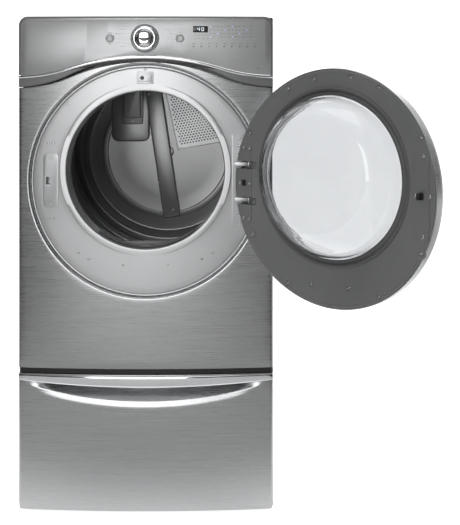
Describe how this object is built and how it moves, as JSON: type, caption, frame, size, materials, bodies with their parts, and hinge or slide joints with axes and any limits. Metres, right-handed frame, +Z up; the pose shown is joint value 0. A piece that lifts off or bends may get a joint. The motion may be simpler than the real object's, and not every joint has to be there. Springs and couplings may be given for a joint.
{
  "type": "front load dryer on pedestal",
  "caption": "Upright front load laundry dryer on a storage drawer pedestal, with a round glass-bowl door standing open and an arched console",
  "frame": {"origin": "on the floor, midway between the four levelling feet", "axes": "+X towards the machine's right as seen from the front, +Y from the front to the back, +Z up"},
  "size_m": [1.0871, 1.162, 1.344],
  "materials": {
    "stainless": "brushed, satin",
    "painted_sides": "satin",
    "galvanised": "matte",
    "console_shell": "satin",
    "console_face": "brushed",
    "chrome_trim": "polished",
    "dark_window": "gloss",
    "circuit_board": "matte",
    "drum_coat": "gloss",
    "baffle_plastic": "satin",
    "bulkhead_coat": "gloss",
    "grille_steel": "satin",
    "lamp_lens": "satin",
    "felt": "matte",
    "motor_case": "satin",
    "machined_steel": "satin",
    "duct_steel": "satin",
    "heater_wire": "matte",
    "black_plastic": "satin",
    "grey_plastic": "satin",
    "belt_rubber": "matte",
    "roller_rubber": "matte",
    "filter_frame": "satin",
    "knob_finish": "gloss",
    "liner_grey": "satin",
    "cover_grey": "satin",
    "door_rim": "satin",
    "door_glass": "clear",
    "door_bowl_glass": "clear",
    "seal_rubber": "satin"
  },
  "bodies": {
    "cabinet": {"base_pan": "galvanised", "left_side_panel": "painted_sides", "right_side_panel": "painted_sides", "rear_panel": "galvanised", "top_panel": "painted_sides", "front_panel": "stainless", "console_frame": "console_shell", "console_overlay": "console_face", "console_trim_strip": "chrome_trim", "control_board": "circuit_board", "display_window": "dark_window", "rear_bulkhead": "bulkhead_coat", "air_grille": "grille_steel", "drum_lamp": "lamp_lens", "front_bulkhead": "galvanised", "drum_seals": "felt", "blower_housing": "grey_plastic", "exhaust_duct": "duct_steel", "motor": "motor_case", "heater_duct": "duct_steel", "heating_coil": "heater_wire", "roller_shafts": "machined_steel", "hinge_bracket": "machined_steel", "latch_plate": "grey_plastic", "door_switch": "grey_plastic", "drum_belt": "belt_rubber", "pedestal_chassis": "painted_sides", "slide_rails": "machined_steel"},
    "drum": {"drum_shell": "drum_coat", "drum_baffles": "baffle_plastic"},
    "rotor": {"motor_shaft": "machined_steel", "blower_wheel": "black_plastic"},
    "idler": {"idler_arm": "machined_steel"},
    "idler_pulley": {"idler_wheel": "black_plastic"},
    "roller_front_left": {"drum_roller_front_left": "roller_rubber"},
    "roller_front_right": {"drum_roller_front_right": "roller_rubber"},
    "roller_rear_left": {"drum_roller_rear_left": "roller_rubber"},
    "roller_rear_right": {"drum_roller_rear_right": "roller_rubber"},
    "filter": {"lint_filter": "filter_frame"},
    "knob": {"control_knob": "knob_finish"},
    "power_key": {"power_button": "knob_finish"},
    "start_key": {"start_button": "knob_finish"},
    "plunger": {"switch_plunger": "black_plastic"},
    "door": {"door_liner": "liner_grey", "door_frame": "door_rim", "door_window": "door_glass", "door_bowl": "door_bowl_glass", "door_seal": "seal_rubber", "door_covers": "cover_grey", "door_strike": "black_plastic", "hinge_pin": "machined_steel", "door_screws": "machined_steel"},
    "drawer": {"drawer_tub": "grey_plastic", "drawer_front": "stainless", "drawer_handle_strip": "chrome_trim", "slide_runners": "machined_steel"},
    "foot_left_front": {"levelling_foot_left_front": "black_plastic"},
    "foot_left_rear": {"levelling_foot_left_rear": "black_plastic"},
    "foot_right_front": {"levelling_foot_right_front": "black_plastic"},
    "foot_right_rear": {"levelling_foot_right_rear": "black_plastic"}
  },
  "joints": [
    {"name": "drum_spin", "type": "hinge", "parent": "cabinet", "child": "drum", "pos_m": [0, 0, 0.931], "axis": [0, 1, 0], "continuous": true},
    {"name": "motor_spin", "type": "hinge", "parent": "cabinet", "child": "rotor", "pos_m": [-0.15, 0, 0.5], "axis": [0, 1, 0], "continuous": true},
    {"name": "idler_pivot", "type": "hinge", "parent": "cabinet", "child": "idler", "pos_m": [-0.095, 0.1335, 0.436], "axis": [0, -1, 0], "range_deg": [0, 12], "stiffness_Nm_per_rad": 4, "springref_deg": -17.19},
    {"name": "idler_spin", "type": "hinge", "parent": "idler", "child": "idler_pulley", "pos_m": [-0.04, 0.12, 0.464], "axis": [0, 1, 0], "continuous": true},
    {"name": "roller_spin_front_left", "type": "hinge", "parent": "cabinet", "child": "roller_front_left", "pos_m": [-0.21813, -0.264, 0.65181], "axis": [0, 1, 0], "continuous": true},
    {"name": "roller_spin_front_right", "type": "hinge", "parent": "cabinet", "child": "roller_front_right", "pos_m": [0.21813, -0.264, 0.65181], "axis": [0, 1, 0], "continuous": true},
    {"name": "roller_spin_rear_left", "type": "hinge", "parent": "cabinet", "child": "roller_rear_left", "pos_m": [-0.21813, 0.274, 0.65181], "axis": [0, 1, 0], "continuous": true},
    {"name": "roller_spin_rear_right", "type": "hinge", "parent": "cabinet", "child": "roller_rear_right", "pos_m": [0.21813, 0.274, 0.65181], "axis": [0, 1, 0], "continuous": true},
    {"name": "filter_slide", "type": "slide", "parent": "cabinet", "child": "filter", "axis": [0, 0, 1], "range_m": [0, 0.28]},
    {"name": "knob_turn", "type": "hinge", "parent": "cabinet", "child": "knob", "pos_m": [0, -0.39, 1.2845], "axis": [0, 1, 0], "continuous": true},
    {"name": "power_press", "type": "slide", "parent": "cabinet", "child": "power_key", "axis": [0, 1, 0], "range_m": [0, 0.0015], "stiffness_N_per_m": 600, "springref_m": -0.001},
    {"name": "start_press", "type": "slide", "parent": "cabinet", "child": "start_key", "axis": [0, 1, 0], "range_m": [0, 0.0015], "stiffness_N_per_m": 600, "springref_m": -0.001},
    {"name": "switch_press", "type": "slide", "parent": "cabinet", "child": "plunger", "axis": [0, 1, 0], "range_m": [0, 0.004], "stiffness_N_per_m": 300, "springref_m": -0.002},
    {"name": "door_swing", "type": "hinge", "parent": "cabinet", "child": "door", "pos_m": [0.278, -0.394, 0.902], "axis": [0, 0, 1], "range_deg": [-143, 5]},
    {"name": "drawer_slide", "type": "slide", "parent": "cabinet", "child": "drawer", "axis": [0, -1, 0], "range_m": [0, 0.4]},
    {"name": "foot_turn_left_front", "type": "hinge", "parent": "cabinet", "child": "foot_left_front", "pos_m": [-0.3, -0.28, 0.022], "axis": [0, 0, 1], "continuous": true},
    {"name": "foot_turn_left_rear", "type": "hinge", "parent": "cabinet", "child": "foot_left_rear", "pos_m": [-0.3, 0.28, 0.022], "axis": [0, 0, 1], "continuous": true},
    {"name": "foot_turn_right_front", "type": "hinge", "parent": "cabinet", "child": "foot_right_front", "pos_m": [0.3, -0.28, 0.022], "axis": [0, 0, 1], "continuous": true},
    {"name": "foot_turn_right_rear", "type": "hinge", "parent": "cabinet", "child": "foot_right_rear", "pos_m": [0.3, 0.28, 0.022], "axis": [0, 0, 1], "continuous": true}
  ],
  "couplings": [
    {"joint": "motor_spin", "follows": "drum_spin", "ratio": 18.661},
    {"joint": "idler_spin", "follows": "drum_spin", "ratio": 12.713},
    {"joint": "roller_spin_front_left", "follows": "drum_spin", "ratio": -8.8333},
    {"joint": "roller_spin_front_right", "follows": "drum_spin", "ratio": -8.8333},
    {"joint": "roller_spin_rear_left", "follows": "drum_spin", "ratio": -8.8333},
    {"joint": "roller_spin_rear_right", "follows": "drum_spin", "ratio": -8.8333}
  ]
}
